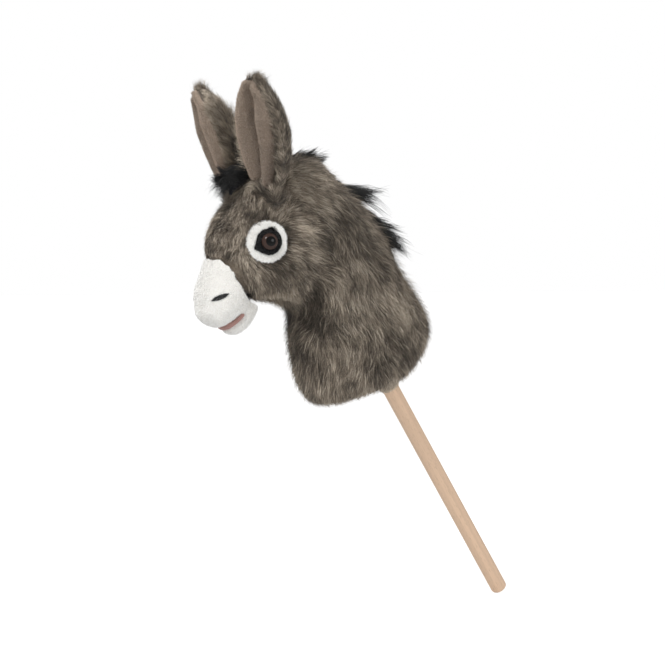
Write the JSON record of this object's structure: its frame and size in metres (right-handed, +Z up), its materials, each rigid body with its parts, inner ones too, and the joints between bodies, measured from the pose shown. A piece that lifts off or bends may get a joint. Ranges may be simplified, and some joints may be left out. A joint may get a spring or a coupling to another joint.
{
  "type": "hobby horse",
  "caption": "Stuffed plush donkey head and neck on a plain round wooden pole, with flexing ears, for a child to ride.",
  "frame": {"origin": "the middle of the rider's grip, on the pole's axis 75 mm below the point where the pole enters the neck", "axes": "+Z up in the riding pose; the donkey faces -Y and its left side is +X; the pole leans 33 degrees so that its foot trails towards +Y"},
  "size_m": [0.1912, 0.4689, 0.6597],
  "materials": {
    "fur": "long-pile faux fur, grey-brown",
    "white_plush": "short-pile plush, warm white",
    "ear_velour": "short velour, taupe",
    "sleeve_plush": "short-pile plush, taupe",
    "black_pile": "long-pile faux fur, black",
    "black_felt": "black plush felt",
    "nostril_thread": "black satin stitch",
    "mouth_felt": "dusty pink felt",
    "wadding": "polyester fibre fill",
    "tie_nylon": "natural nylon",
    "washer_plastic": "moulded plastic",
    "eye_plastic": "glossy brown with a black pupil",
    "pole_wood": "smooth pale beech"
  },
  "bodies": {
    "horse": {"pole": "pole_wood", "pole_sleeve": "sleeve_plush", "sleeve_tie": "tie_nylon", "neck_cover": "fur", "neck_stuffing": "wadding", "head_cover": "fur", "head_stuffing": "wadding", "muzzle_cover": "white_plush", "muzzle_stuffing": "wadding", "jaw_cover": "white_plush", "jaw_stuffing": "wadding", "mouth_lining": "mouth_felt", "nostril_left": "nostril_thread", "nostril_right": "nostril_thread", "eye_patch_left": "white_plush", "eye_patch_right": "white_plush", "eye_felt_left": "black_felt", "eye_felt_right": "black_felt", "eye_left": "eye_plastic", "eye_right": "eye_plastic", "eye_washer_left": "washer_plastic", "eye_washer_right": "washer_plastic", "mane": "black_pile", "forelock": "black_pile"},
    "ear_left": {"ear_cover_left": "fur", "ear_lining_left": "ear_velour"},
    "ear_right": {"ear_cover_right": "fur", "ear_lining_right": "ear_velour"}
  },
  "joints": [
    {"name": "ear_left_flex", "type": "hinge", "parent": "horse", "child": "ear_left", "pos_m": [0.042, -0.24385, 0.3059], "axis": [0.7536, 0.2304, -0.6157], "range_deg": [-25, 25], "stiffness_Nm_per_rad": 0.3},
    {"name": "ear_right_flex", "type": "hinge", "parent": "horse", "child": "ear_right", "pos_m": [-0.042, -0.24385, 0.3059], "axis": [0.7536, -0.2304, 0.6157], "range_deg": [-25, 25], "stiffness_Nm_per_rad": 0.3}
  ]
}
